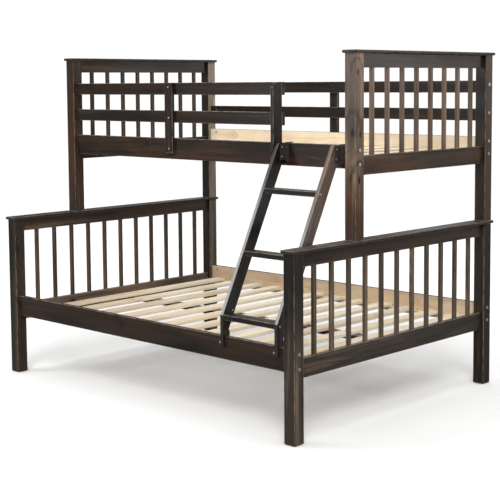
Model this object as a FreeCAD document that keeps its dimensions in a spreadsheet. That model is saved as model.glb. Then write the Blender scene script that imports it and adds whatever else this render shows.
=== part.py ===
import FreeCAD, Part
import math
import os
import sys

import Sketcher

# Bunk bed, twin bed over full bed, with a lift-off ladder hooked to the front.
# Frame: +X along the length, +Y to the back, +Z up, millimetres.
# The origin is on the floor, in the middle of the bed.

os.makedirs("parts", exist_ok=True)
doc = FreeCAD.newDocument("BunkBed")
sheet = doc.addObject("Spreadsheet::Sheet", "Dims")
Vector = FreeCAD.Vector

DIMENSIONS = [
    # overall
    ("bed_length", 2013),       # over the outer faces of the posts
    ("full_width", 1483),       # lower bed, over the posts
    ("twin_width", 1080),       # upper bed, over the posts
    ("lower_top", 826),         # top of the lower caps, where the upper bed stands
    ("upper_top", 1658),        # top of the upper caps
    # posts and caps
    ("post_side", 60),
    ("post_ease", 3),
    ("post_chamfer", 2),
    ("cap_thick", 14),
    ("cap_over", 10),
    ("cap_corner", 6),
    ("cap_bull", 4.5),
    # end panels
    ("rail_thick", 23),
    ("top_rail_high", 63),
    ("low_rail_high", 86),
    ("low_rail_lower", 278),    # underside of the lower bed's bottom rails
    ("low_rail_upper", 1111),
    ("tenon_long", 20),
    ("tenon_thick", 12),
    ("tenon_inset", 8),
    ("spindle_side", 18),
    ("spindle_deep", 10),
    ("spindle_pitch_full", 116.5),
    ("spindle_pitch_twin", 111),
    ("bar_ease", 2),
    # side rails, cleats and slats
    ("side_high", 104),
    ("side_lower", 305),
    ("side_upper", 1140),
    ("cleat_high", 20),
    ("cleat_deep", 28),
    ("cleat_end", 18),
    ("slat_wide", 63),
    ("slat_thick", 16),
    ("slat_pitch", 157),
    ("slat_clear", 2),
    ("beam_wide", 65),
    ("beam_thick", 21),
    ("seat_deep", 25),
    ("seat_wide", 95),
    # guard rails and guard posts
    ("guard_high", 60),
    ("guard_thick", 20),
    ("guard_low", 1322.5),
    ("guard_top", 1461.5),
    ("guard_low_screw", 23),    # from the underside of a guard rail to its screw
    ("guard_top_screw", 38),
    ("board_wide", 56),
    ("board_thick", 17),
    ("board_low", 1170),
    ("grab_out", 60),
    ("grab_left", 545),
    ("grab_low", 1150),
    ("grab_round", 32),
    # ladder
    ("ladder_left", 567),
    ("ladder_wide", 341),
    ("stile_thick", 18),
    ("stile_top", 1243),
    ("stile_front", 368),       # front edge at the top, in front of the bed's middle
    ("stile_span", 69),         # front to back, measured level
    ("foot_front", 736),
    ("foot_lip_low", 367),
    ("lean", 0.498),            # run over rise
    ("tread_thick", 23),
    ("tread_deep", 62),
    ("tread_top", 1033.5),
    ("tread_pitch", 269.5),
    ("hook_wide", 19),
    ("hook_thick", 3),
    ("hook_drop", 30),
    ("hook_low", 1158),
    ("flange_deep", 40),        # part of the hook that lies on the side of the stile
    ("saddle_wide", 24),
    ("saddle_thick", 2),
    ("ear_wide", 14),           # part of the saddle beside the stile, slotted over a catch screw
    ("ear_high", 26),
    ("ear_slot", 5.2),
    ("ride_gap", 0.6),          # clearance between the ladder and the bed
    # hardware
    ("bolt_dia", 6.3),
    ("bolt_hole", 7),
    ("bolt_long", 110),
    ("bolt_head_dia", 15),
    ("bolt_head_high", 2.5),
    ("bolt_spread", 31.5),
    ("nut_dia", 10),
    ("nut_hole", 10.6),
    ("nut_long", 16),
    ("nut_back", 46),           # from the rail's end to the barrel nut
    ("screw_dia", 4),
    ("screw_hole", 4.6),
    ("screw_head", 9),
    ("screw_head_high", 2.6),
    ("rung_bolt_dia", 6),
    ("rung_bolt_hole", 6.6),
    ("rung_bolt_head", 13),
    ("rung_bolt_inset", 15),    # from the front edge of the stile
    ("pin_dia", 8),
    ("pin_hole", 8.6),
    ("pin_bury", 38),
    ("glide_dia", 26),
    ("glide_high", 3),
]

SPINDLES_FULL = 11
SPINDLES_TWIN = 8
SLATS = 12


class Dim:
    """A length that knows its number and the spreadsheet expression behind it."""

    def __init__(self, value, text):
        self.value = value
        self.text = text

    def __add__(self, other):
        return Dim(self.value + number(other), "(%s + %s)" % (self.text, text(other)))

    def __radd__(self, other):
        return Dim(number(other) + self.value, "(%s + %s)" % (text(other), self.text))

    def __sub__(self, other):
        return Dim(self.value - number(other), "(%s - %s)" % (self.text, text(other)))

    def __rsub__(self, other):
        return Dim(number(other) - self.value, "(%s - %s)" % (text(other), self.text))

    def __mul__(self, other):
        return Dim(self.value * number(other), "(%s * %s)" % (self.text, text(other)))

    def __rmul__(self, other):
        return self * other

    def __truediv__(self, other):
        return Dim(self.value / number(other), "(%s / %s)" % (self.text, text(other)))

    def __neg__(self):
        return Dim(-self.value, "(0 - %s)" % self.text)


def number(length):
    return float(length.value) if isinstance(length, Dim) else float(length)


def text(length):
    return length.text if isinstance(length, Dim) else "%.6g" % length


def fill_sheet():
    dims = {}
    for row, (alias, value) in enumerate(DIMENSIONS, start=1):
        sheet.set("A%d" % row, alias.replace("_", " "))
        sheet.set("B%d" % row, str(value))
        sheet.setAlias("B%d" % row, alias)
        dims[alias] = Dim(value, "Dims." + alias)
    doc.recompute()
    return dims


D = fill_sheet()
SUBPARTS = []


# ---------------------------------------------------------------- helpers

def bind(obj, prop, length):
    """Drive one property of an object from the sheet."""
    if isinstance(length, Dim):
        obj.setExpression(prop, length.text)


def place(obj, at, rotation=None):
    x, y, z = at
    turn = rotation if rotation else FreeCAD.Rotation()
    obj.Placement = FreeCAD.Placement(Vector(number(x), number(y), number(z)), turn)
    bind(obj, ".Placement.Base.x", x)
    bind(obj, ".Placement.Base.y", y)
    bind(obj, ".Placement.Base.z", z)


def keep(obj, name):
    """Mark an object as a finished sub-part."""
    obj.Label = name
    SUBPARTS.append(obj)
    return obj


def origin_plane(body, role):
    for feature in body.Origin.OriginFeatures:
        if feature.Role == role:
            return feature
    raise ValueError(role)


def new_sketch(body, role):
    sketch = body.newObject("Sketcher::SketchObject", body.Name + "_sketch")
    sketch.AttachmentSupport = [(origin_plane(body, role), "")]
    sketch.MapMode = "FlatFace"
    return sketch


def measure(sketch, kind, *args):
    """Add one dimension to a sketch and drive it from the sheet."""
    length = args[-1]
    index = sketch.addConstraint(Sketcher.Constraint(kind, *args[:-1], number(length)))
    if isinstance(length, Dim):
        sketch.setExpression("Constraints[%d]" % index, length.text)


def rounded_section(sketch, wide, high, ease):
    """A rectangle with eased corners, its lower left corner at the origin."""
    a, b, r = number(wide), number(high), number(ease)
    up = Vector(0, 0, 1)
    corners = [(a - r, r, -90), (a - r, b - r, 0), (r, b - r, 90), (r, r, 180)]
    sides = [((r, 0), (a - r, 0)), ((a, r), (a, b - r)), ((a - r, b), (r, b)), ((0, b - r), (0, r))]
    for (start, end), (cx, cy, angle) in zip(sides, corners):
        sketch.addGeometry(Part.LineSegment(Vector(*start, 0), Vector(*end, 0)), False)
        circle = Part.Circle(Vector(cx, cy, 0), up, r)
        arc = Part.ArcOfCircle(circle, math.radians(angle), math.radians(angle + 90))
        sketch.addGeometry(arc, False)
    for index in range(8):
        sketch.addConstraint(Sketcher.Constraint("Tangent", index, 2, (index + 1) % 8, 1))
    for index, kind in ((0, "Horizontal"), (2, "Vertical"), (4, "Horizontal"), (6, "Vertical")):
        sketch.addConstraint(Sketcher.Constraint(kind, index))
    for index in (3, 5, 7):
        sketch.addConstraint(Sketcher.Constraint("Equal", 1, index))
    sketch.addConstraint(Sketcher.Constraint("PointOnObject", 0, 1, -1))
    sketch.addConstraint(Sketcher.Constraint("PointOnObject", 6, 1, -2))
    measure(sketch, "DistanceX", 6, 1, 2, 1, wide)
    measure(sketch, "DistanceY", 0, 1, 4, 1, high)
    measure(sketch, "Radius", 1, ease)


def polygon_section(sketch, points):
    """A closed outline through the given points, each one dimensioned from the origin."""
    count = len(points)
    for index in range(count):
        x0, y0 = points[index]
        x1, y1 = points[(index + 1) % count]
        line = Part.LineSegment(Vector(number(x0), number(y0), 0), Vector(number(x1), number(y1), 0))
        sketch.addGeometry(line, False)
    for index in range(count):
        sketch.addConstraint(Sketcher.Constraint("Coincident", index, 2, (index + 1) % count, 1))
    for index, (x, y) in enumerate(points):
        measure(sketch, "DistanceX", -1, 1, index, 1, x)
        measure(sketch, "DistanceY", -1, 1, index, 1, y)


PLANE_OF_GRAIN = {"X": "YZ_Plane", "Y": "XZ_Plane", "Z": "XY_Plane"}


def pad(body, sketch, length, grain):
    feature = body.newObject("PartDesign::Pad", body.Name + "_pad")
    feature.Profile = sketch
    feature.Length = number(length)
    bind(feature, "Length", length)
    feature.Reversed = grain == "Y"
    sketch.Visibility = False
    return feature


def timber(name, low, high, grain, ease):
    """A straight bar between two corners, its four long edges eased."""
    body = doc.addObject("PartDesign::Body", name)
    size = [top - bottom for bottom, top in zip(low, high)]
    along = "XYZ".index(grain)
    across = [size[axis] for axis in range(3) if axis != along]
    sketch = new_sketch(body, PLANE_OF_GRAIN[grain])
    rounded_section(sketch, across[0], across[1], ease)
    pad(body, sketch, size[along], grain)
    place(body, low)
    return body


def profile(name, points, left, thick):
    """A board cut to an outline drawn in Y and Z, its thickness along X."""
    body = doc.addObject("PartDesign::Body", name)
    sketch = new_sketch(body, "YZ_Plane")
    polygon_section(sketch, points)
    pad(body, sketch, thick, "X")
    place(body, (left, 0, 0))
    return body


def block(name, low, high):
    box = doc.addObject("Part::Box", name)
    for prop, bottom, top in zip(("Length", "Width", "Height"), low, high):
        setattr(box, prop, number(top - bottom))
        bind(box, prop, top - bottom)
    place(box, low)
    return box


TURN = {
    "+X": FreeCAD.Rotation(Vector(0, 1, 0), 90),
    "-X": FreeCAD.Rotation(Vector(0, 1, 0), -90),
    "+Y": FreeCAD.Rotation(Vector(1, 0, 0), -90),
    "-Y": FreeCAD.Rotation(Vector(1, 0, 0), 90),
    "+Z": FreeCAD.Rotation(),
    "-Z": FreeCAD.Rotation(Vector(1, 0, 0), 180),
}


def rod(name, at, way, dia, long):
    cylinder = doc.addObject("Part::Cylinder", name)
    cylinder.Radius = number(dia) / 2
    cylinder.Height = number(long)
    bind(cylinder, "Radius", dia / 2)
    bind(cylinder, "Height", long)
    place(cylinder, at, TURN[way])
    return cylinder


def taper(name, at, way, dia_start, dia_end, long):
    cone = doc.addObject("Part::Cone", name)
    cone.Radius1 = number(dia_start) / 2
    cone.Radius2 = number(dia_end) / 2
    cone.Height = number(long)
    bind(cone, "Radius1", dia_start / 2)
    bind(cone, "Radius2", dia_end / 2)
    bind(cone, "Height", long)
    place(cone, at, TURN[way])
    return cone


def joined(name, pieces):
    fuse = doc.addObject("Part::MultiFuse", name)
    fuse.Shapes = pieces
    return fuse


def cut(name, base, tools):
    """Take the tools out of the base; the result carries the base's name."""
    base.Label = name + "_blank"
    result = doc.addObject("Part::Cut", name + "_cut")
    result.Base = base
    result.Tool = tools[0] if len(tools) == 1 else joined(name + "_tools", tools)
    return result


def copies(name, master, spots):
    """Separate solids of one pattern piece, one at each spot (position, way)."""
    links = []
    for index, (at, way) in enumerate(spots):
        link = doc.addObject("App::Link", "%s_%02d" % (name, index + 1))
        link.LinkedObject = master
        link.LinkTransform = False
        place(link, at, TURN[way])
        links.append(link)
    group = doc.addObject("Part::Compound", name)
    group.Links = links
    return keep(group, name)


def level_faces(body, feature, heights):
    """Names of the faces of a feature that lie level at the given heights."""
    doc.recompute()
    names = []
    for index, face in enumerate(feature.Shape.Faces, start=1):
        box = face.BoundBox
        for height in heights:
            if box.ZLength < 1e-6 and abs(box.ZMin - number(height)) < 1e-6:
                names.append("Face%d" % index)
    return names


# ---------------------------------------------------------------- layout

HALF = D["bed_length"] / 2
BACK = D["full_width"] / 2
POST = D["post_side"]
FULL_FRONT = -BACK                       # front face of the lower bed's posts
TWIN_FRONT = BACK - D["twin_width"]      # front face of the upper bed's posts
MID_X = HALF - POST / 2                  # line of the end panels
INNER_X = HALF - POST
HALF_RAIL = D["rail_thick"] / 2
LINE_BACK = BACK - POST / 2              # line of the back rails
LINE_FULL = FULL_FRONT + POST / 2        # line of the lower front rail
LINE_TWIN = TWIN_FRONT + POST / 2        # line of the upper front rail
SIDES = (("left", -1), ("right", 1))

BEDS = {
    "lower": {
        "front": FULL_FRONT, "line": LINE_FULL, "floor": D["glide_high"], "top": D["lower_top"],
        "low_rail": D["low_rail_lower"], "side": D["side_lower"],
        "count": SPINDLES_FULL, "pitch": D["spindle_pitch_full"],
    },
    "upper": {
        "front": TWIN_FRONT, "line": LINE_TWIN, "floor": D["lower_top"], "top": D["upper_top"],
        "low_rail": D["low_rail_upper"], "side": D["side_upper"],
        "count": SPINDLES_TWIN, "pitch": D["spindle_pitch_twin"],
    },
}

GUARDS = (
    ("lower", D["guard_low"], D["guard_low_screw"]),
    ("upper", D["guard_top"], D["guard_top_screw"]),
)
GUARD_BOLT_RISE = D["guard_high"] / 2 + 10


def bolt_heights(bed, back):
    """Heights of the bolts in one post, for the side rail and any guard rails."""
    middle = BEDS[bed]["side"] + D["side_high"] / 2
    heights = [middle - D["bolt_spread"], middle + D["bolt_spread"]]
    if bed == "upper" and back:
        heights += [low + GUARD_BOLT_RISE for _, low, _ in GUARDS]
    return heights


def post_heights(bed, place_name, side):
    """The front guard rails are bolted to the left upper post only."""
    guarded = place_name == "back" or side == "left"
    return bolt_heights(bed, guarded)


def post_line(bed, place_name):
    return LINE_BACK if place_name == "back" else BEDS[bed]["line"]


# ---------------------------------------------------------------- posts and caps

def make_post(bed, place_name, side, sign):
    name = "%s_post_%s_%s" % (bed, place_name, side)
    info = BEDS[bed]
    centre_x = sign * MID_X
    centre_y = post_line(bed, place_name)
    under_cap = info["top"] - D["cap_thick"]
    low = (centre_x - POST / 2, centre_y - POST / 2, info["floor"])
    high = (centre_x + POST / 2, centre_y + POST / 2, under_cap)
    body = timber(name, low, high, "Z", D["post_ease"])
    if bed == "lower":
        feature = doc.getObject(body.Name + "_pad")
        chamfer = body.newObject("PartDesign::Chamfer", name + "_chamfer")
        chamfer.Base = (feature, level_faces(body, feature, [0]))
        chamfer.Size = number(D["post_chamfer"])
        bind(chamfer, "Size", D["post_chamfer"])
    tools = []
    inward = "-X" if sign > 0 else "+X"
    for height in post_heights(bed, place_name, side):
        start = (sign * (HALF + 1), centre_y, height)
        tools.append(rod(name + "_bolt_hole", start, inward, D["bolt_hole"], POST + 2))
    toward = 1 if place_name == "front" else -1
    inner_face = centre_y + toward * POST / 2
    for rail_low, rail_high in panel_rail_heights(bed):
        y_ends = (inner_face - toward * D["tenon_long"], inner_face + toward * 1)
        y_ends = y_ends if toward > 0 else (y_ends[1], y_ends[0])
        low = (centre_x - D["tenon_thick"] / 2, y_ends[0], rail_low + D["tenon_inset"])
        high = (centre_x + D["tenon_thick"] / 2, y_ends[1], rail_high - D["tenon_inset"])
        tools.append(block(name + "_mortise", low, high))
    if bed == "lower":
        glide_hole = (centre_x, centre_y, info["floor"] - 1)
        tools.append(rod(name + "_glide_hole", glide_hole, "+Z", D["screw_hole"], 19))
    if bed == "lower" and place_name == "back":
        start = (centre_x, centre_y, under_cap - D["pin_bury"])
        tools.append(rod(name + "_pin_hole", start, "+Z", D["pin_hole"], D["pin_bury"] + 1))
    if bed == "upper":
        start = (centre_x, centre_y, info["floor"] - 1)
        tools.append(rod(name + "_pin_hole", start, "+Z", D["pin_hole"], D["pin_bury"] + 1))
    keep(cut(name, body, tools), name)


def make_cap(bed, side, sign):
    """The moulded board over one end panel."""
    name = "%s_cap_%s" % (bed, side)
    info = BEDS[bed]
    body = doc.addObject("PartDesign::Body", name)
    sketch = new_sketch(body, "XY_Plane")
    long = BACK - info["front"] + 2 * D["cap_over"]
    rounded_section(sketch, POST + 2 * D["cap_over"], long, D["cap_corner"])
    feature = pad(body, sketch, D["cap_thick"], "Z")
    bull = body.newObject("PartDesign::Fillet", name + "_bullnose")
    bull.Base = (feature, level_faces(body, feature, [0, D["cap_thick"]]))
    bull.Radius = number(D["cap_bull"])
    bind(bull, "Radius", D["cap_bull"])
    corner_x = sign * MID_X - POST / 2 - D["cap_over"]
    place(body, (corner_x, info["front"] - D["cap_over"], info["top"] - D["cap_thick"]))
    if bed == "upper":
        return keep(body, name)
    tools = []
    for line in (LINE_TWIN, LINE_BACK):
        start = (sign * MID_X, line, info["top"] - D["cap_thick"] - 1)
        tools.append(rod(name + "_pin_hole", start, "+Z", D["pin_hole"], D["cap_thick"] + 2))
    return keep(cut(name, body, tools), name)


# ---------------------------------------------------------------- end panels

def panel_rail_heights(bed):
    info = BEDS[bed]
    under_cap = info["top"] - D["cap_thick"]
    return (
        (info["low_rail"], info["low_rail"] + D["low_rail_high"]),
        (under_cap - D["top_rail_high"], under_cap),
    )


def spindle_lines(bed):
    info = BEDS[bed]
    middle = (info["front"] + BACK) / 2
    first = (info["count"] - 1) / 2
    return [middle + info["pitch"] * (index - first) for index in range(info["count"])]


def make_panel_rail(bed, level, side, sign, rail_low, rail_high):
    name = "%s_%s_rail_%s" % (bed, level, side)
    info = BEDS[bed]
    centre_x = sign * MID_X
    y_low = info["front"] + POST
    y_high = BACK - POST
    low = (centre_x - HALF_RAIL, y_low, rail_low)
    high = (centre_x + HALF_RAIL, y_high, rail_high)
    body = timber(name, low, high, "Y", D["bar_ease"])
    body.Label = name + "_bar"
    tenons = []
    for start, end in ((y_low - D["tenon_long"], y_low), (y_high, y_high + D["tenon_long"])):
        low = (centre_x - D["tenon_thick"] / 2, start, rail_low + D["tenon_inset"])
        high = (centre_x + D["tenon_thick"] / 2, end, rail_high - D["tenon_inset"])
        tenons.append(block(name + "_tenon", low, high))
    solid = joined(name + "_with_tenons", [body] + tenons)
    bottom = rail_high - D["spindle_deep"] if level == "bottom" else rail_low - 1
    half = D["spindle_side"] / 2
    tools = []
    for line in spindle_lines(bed):
        low = (centre_x - half, line - half, bottom)
        high = (centre_x + half, line + half, bottom + D["spindle_deep"] + 1)
        tools.append(block(name + "_mortise", low, high))
    if bed == "lower" and level == "top":
        start = (centre_x, LINE_TWIN, rail_high - D["pin_bury"])
        tools.append(rod(name + "_pin_hole", start, "+Z", D["pin_hole"], D["pin_bury"] + 1))
    keep(cut(name, solid, tools), name)


def make_spindles(bed, side, sign, master):
    (_, bottom), (_, _) = panel_rail_heights(bed)
    half = D["spindle_side"] / 2
    start = bottom - D["spindle_deep"]
    spots = []
    for line in spindle_lines(bed):
        spots.append(((sign * MID_X - half, line - half, start), "+Z"))
    copies("%s_spindles_%s" % (bed, side), master, spots)


def spindle_master(bed):
    (_, bottom), (top, _) = panel_rail_heights(bed)
    long = top - bottom + 2 * D["spindle_deep"]
    side = D["spindle_side"]
    return timber(bed + "_spindle_pattern", (0, 0, 0), (side, side, long), "Z", D["bar_ease"])


# ---------------------------------------------------------------- side rails, cleats and slats

def rail_tools(name, line, toward_room, heights, ends, thick):
    """Bolt holes in a rail's ends and the barrel-nut holes from its inner face."""
    tools = []
    face = line - toward_room * thick / 2
    way = "+Y" if toward_room > 0 else "-Y"
    for sign in ends:
        inward = "-X" if sign > 0 else "+X"
        nut_x = sign * (INNER_X - D["nut_back"])
        for height in heights:
            start = (sign * (INNER_X + 1), line, height)
            tools.append(rod(name + "_bolt_hole", start, inward, D["bolt_hole"], D["bolt_long"] - POST + 8))
            start = (nut_x, face - toward_room * 1, height)
            tools.append(rod(name + "_nut_hole", start, way, D["nut_hole"], thick / 2 + 9))
    return tools


def make_side_rail(bed, place_name):
    name = "%s_side_rail_%s" % (bed, place_name)
    line = post_line(bed, place_name)
    bottom = BEDS[bed]["side"]
    low = (-INNER_X, line - HALF_RAIL, bottom)
    high = (INNER_X, line + HALF_RAIL, bottom + D["side_high"])
    body = timber(name, low, high, "X", D["bar_ease"])
    toward_room = -1 if place_name == "front" else 1
    tools = rail_tools(name, line, toward_room, bolt_heights(bed, False), (-1, 1), D["rail_thick"])
    middle = bottom + D["side_high"] / 2
    if bed == "upper" and place_name == "front":
        tools.append(rod(name + "_screw_hole", (BOARD_X, line - HALF_RAIL - 1, middle),
                         "+Y", D["screw_hole"], 19))
        tools.append(rod(name + "_screw_hole", (GRAB_X, line - HALF_RAIL - 1, middle),
                         "+Y", D["screw_hole"], 26))
    if bed == "upper" and place_name == "back":
        tools.append(rod(name + "_screw_hole", (0, line + HALF_RAIL + 1, middle),
                         "-Y", D["screw_hole"], 19))
    if bed == "lower" and place_name == "front":
        for x in catch_lines():
            tools.append(rod(name + "_catch_hole", (x, line - HALF_RAIL - 1, catch_height()),
                             "+Y", D["screw_hole"], 19))
    keep(cut(name, body, tools), name)


def make_cleat(bed, place_name):
    name = "%s_cleat_%s" % (bed, place_name)
    line = post_line(bed, place_name)
    bottom = BEDS[bed]["side"] + 1
    inward = 1 if place_name == "front" else -1
    near = line + inward * HALF_RAIL
    far = near + inward * D["cleat_deep"]
    y_low, y_high = (near, far) if inward > 0 else (far, near)
    low = (-INNER_X + D["cleat_end"], y_low, bottom)
    high = (INNER_X - D["cleat_end"], y_high, bottom + D["cleat_high"])
    body = timber(name, low, high, "X", D["bar_ease"])
    tools = []
    for x in slat_lines():
        start = (x, screw_line(bed, place_name), bottom + D["cleat_high"] - 13)
        tools.append(rod(name + "_screw_hole", start, "+Z", D["screw_hole"], 14))
    keep(cut(name, body, tools), name)


def slat_lines():
    return [D["slat_pitch"] * (index - (SLATS - 1) / 2) for index in range(SLATS)]


def screw_line(bed, place_name):
    inward = 1 if place_name == "front" else -1
    return post_line(bed, place_name) + inward * (HALF_RAIL + D["cleat_deep"] / 2)


def slat_floor(bed):
    return BEDS[bed]["side"] + 1 + D["cleat_high"]


def make_slats(bed):
    """One slat with its two countersunk holes, then a row of them along the bed."""
    name = bed + "_slats"
    front = post_line(bed, "front") + HALF_RAIL + D["slat_clear"]
    back = LINE_BACK - HALF_RAIL - D["slat_clear"]
    size = (D["slat_wide"], back - front, D["slat_thick"])
    body = timber(name + "_pattern", (0, 0, 0), size, "Y", D["bar_ease"])
    tools = []
    for place_name in ("front", "back"):
        at_y = screw_line(bed, place_name) - front
        below = (D["slat_wide"] / 2, at_y, -1)
        tools.append(rod(name + "_hole", below, "+Z", D["screw_hole"], D["slat_thick"] + 2))
        seat = (D["slat_wide"] / 2, at_y, D["slat_thick"] - 3)
        tools.append(taper(name + "_sink", seat, "+Z", D["screw_hole"], D["screw_head"] + 1.5, 3.5))
    master = cut(name + "_one", body, tools)
    spots = [((x - D["slat_wide"] / 2, front, slat_floor(bed)), "+Z") for x in slat_lines()]
    copies(name, master, spots)


def make_beam():
    """The middle board under the lower slats and the two blocks that it sits on."""
    inner = MID_X - HALF_RAIL
    top = slat_floor("lower")
    half = D["beam_wide"] / 2
    low = (-inner, -half, top - D["beam_thick"])
    keep(timber("lower_centre_beam", low, (inner, half, top), "X", D["bar_ease"]), "lower_centre_beam")
    blocks = []
    for side, sign in SIDES:
        ends = (inner - D["seat_deep"], inner) if sign > 0 else (-inner, D["seat_deep"] - inner)
        low = (ends[0], -D["seat_wide"] / 2, D["low_rail_lower"])
        high = (ends[1], D["seat_wide"] / 2, top - D["beam_thick"])
        blocks.append(timber("beam_seat_" + side, low, high, "Y", D["bar_ease"]))
    group = doc.addObject("Part::Compound", "beam_seats")
    group.Links = blocks
    keep(group, "beam_seats")


# ---------------------------------------------------------------- guard rails

FRONT_FACE = LINE_TWIN - HALF_RAIL       # outer face of the upper front rails
BACK_FACE = LINE_BACK + HALF_RAIL
BOARD_X = Dim(-190, "(0 - 190)")         # middle of the front guard board
GRAB_X = D["grab_left"] + D["board_thick"] / 2


def make_guard_rail(place_name, level, low_z, screw_rise):
    name = "guard_rail_%s_%s" % (place_name, level)
    if place_name == "front":
        y_low, y_high = FRONT_FACE, FRONT_FACE + D["guard_thick"]
        right, ends, toward_room = D["grab_left"] + D["board_thick"], (-1,), -1
    else:
        y_low, y_high = BACK_FACE - D["guard_thick"], BACK_FACE
        right, ends, toward_room = INNER_X, (-1, 1), 1
    high = (right, y_high, low_z + D["guard_high"])
    body = timber(name, (-INNER_X, y_low, low_z), high, "X", D["bar_ease"])
    line = post_line("upper", place_name)
    inner = D["guard_thick"] * 2 - D["rail_thick"]
    tools = rail_tools(name, line, toward_room, [low_z + GUARD_BOLT_RISE], ends, inner)
    height = low_z + screw_rise
    through = D["guard_thick"] + 2
    if place_name == "front":
        for x in (BOARD_X, GRAB_X):
            tools.append(rod(name + "_screw_hole", (x, y_low - 1, height), "+Y", D["screw_hole"], through))
    else:
        tools.append(rod(name + "_screw_hole", (0, y_high + 1, height), "-Y", D["screw_hole"], through))
    keep(cut(name, body, tools), name)


def guard_screw_heights():
    heights = [low + rise for _, low, rise in GUARDS]
    return heights + [D["side_upper"] + D["side_high"] / 2]


def make_guard_boards():
    half = D["board_wide"] / 2
    top = D["guard_top"] + D["guard_high"]
    thick = D["board_thick"]
    low = (BOARD_X - half, FRONT_FACE - thick, D["board_low"])
    high = (BOARD_X + half, FRONT_FACE, top)
    body = timber("guard_board_front", low, high, "Z", D["bar_ease"])
    tools = []
    for height in guard_screw_heights():
        start = (BOARD_X, FRONT_FACE + 1, height)
        tools.append(rod("guard_board_front_hole", start, "-Y", D["screw_hole"], thick + 2))
    keep(cut("guard_board_front", body, tools), "guard_board_front")

    low = (-half, BACK_FACE, D["board_low"])
    high = (half, BACK_FACE + thick, top)
    body = timber("guard_board_back", low, high, "Z", D["bar_ease"])
    tools = []
    for height in guard_screw_heights():
        tools.append(rod("guard_board_back_hole", (0, BACK_FACE - 1, height), "+Y", D["screw_hole"], thick + 2))
    keep(cut("guard_board_back", body, tools), "guard_board_back")


def make_grab_board():
    """The upright on edge beside the ladder, its top outer corner rounded."""
    name = "guard_grab_board"
    body = doc.addObject("PartDesign::Body", name)
    sketch = new_sketch(body, "YZ_Plane")
    out = number(D["grab_out"])
    tall = number(D["guard_top"] + D["guard_high"] - D["grab_low"])
    r = number(D["grab_round"])
    lines = [((0, 0), (out, 0)), ((out, 0), (out, tall)), ((out, tall), (r, tall)), ((0, tall - r), (0, 0))]
    for start, end in lines:
        sketch.addGeometry(Part.LineSegment(Vector(*start, 0), Vector(*end, 0)), False)
    circle = Part.Circle(Vector(r, tall - r, 0), Vector(0, 0, 1), r)
    sketch.addGeometry(Part.ArcOfCircle(circle, math.pi / 2, math.pi), False)
    for first, second in ((0, 1), (1, 2), (3, 0)):
        sketch.addConstraint(Sketcher.Constraint("Coincident", first, 2, second, 1))
    sketch.addConstraint(Sketcher.Constraint("Tangent", 2, 2, 4, 1))
    sketch.addConstraint(Sketcher.Constraint("Tangent", 4, 2, 3, 1))
    for index, kind in ((0, "Horizontal"), (1, "Vertical"), (2, "Horizontal"), (3, "Vertical")):
        sketch.addConstraint(Sketcher.Constraint(kind, index))
    sketch.addConstraint(Sketcher.Constraint("Coincident", 0, 1, -1, 1))
    measure(sketch, "DistanceX", 0, 1, 0, 2, D["grab_out"])
    measure(sketch, "DistanceY", 1, 1, 1, 2, D["guard_top"] + D["guard_high"] - D["grab_low"])
    measure(sketch, "Radius", 4, D["grab_round"])
    pad(body, sketch, D["board_thick"], "X")
    place(body, (D["grab_left"], FRONT_FACE - D["grab_out"], D["grab_low"]))
    tools = []
    for height in guard_screw_heights():
        start = (GRAB_X, FRONT_FACE + 1, height)
        tools.append(rod(name + "_hole", start, "-Y", D["screw_hole"], 29))
    keep(cut(name, body, tools), name)


# ---------------------------------------------------------------- ladder

STILE_LEFT = D["ladder_left"]
STILE_RIGHT = D["ladder_left"] + D["ladder_wide"] - D["stile_thick"]
GAP = D["ride_gap"]
HOOK_BACK = FRONT_FACE - GAP             # face of the ladder next to the upper rail
HOOK_FRONT = HOOK_BACK - D["hook_thick"]
RAIL_TOP = D["side_lower"] + D["side_high"]
LOW_FACE = LINE_FULL - HALF_RAIL         # outer face of the lower front rail
HEEL = LINE_FULL + HALF_RAIL
NOTCH_TOP = RAIL_TOP + GAP + D["saddle_thick"]
NOTCH_FACE = LOW_FACE - GAP - D["saddle_thick"]


def front_edge(height):
    return -D["stile_front"] - (D["stile_top"] - height) * D["lean"]


def back_edge(height):
    return front_edge(height) + D["stile_span"]


def height_on_back(y):
    return D["stile_top"] - (D["stile_span"] - D["stile_front"] - y) / D["lean"]


def tread_centre(index):
    height = D["tread_top"] - D["tread_pitch"] * index
    y = (front_edge(height) + back_edge(height)) / 2
    if index == 2:
        y = D["tread_deep"] / 2 + 2 - D["foot_front"]
    return y, height


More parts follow.
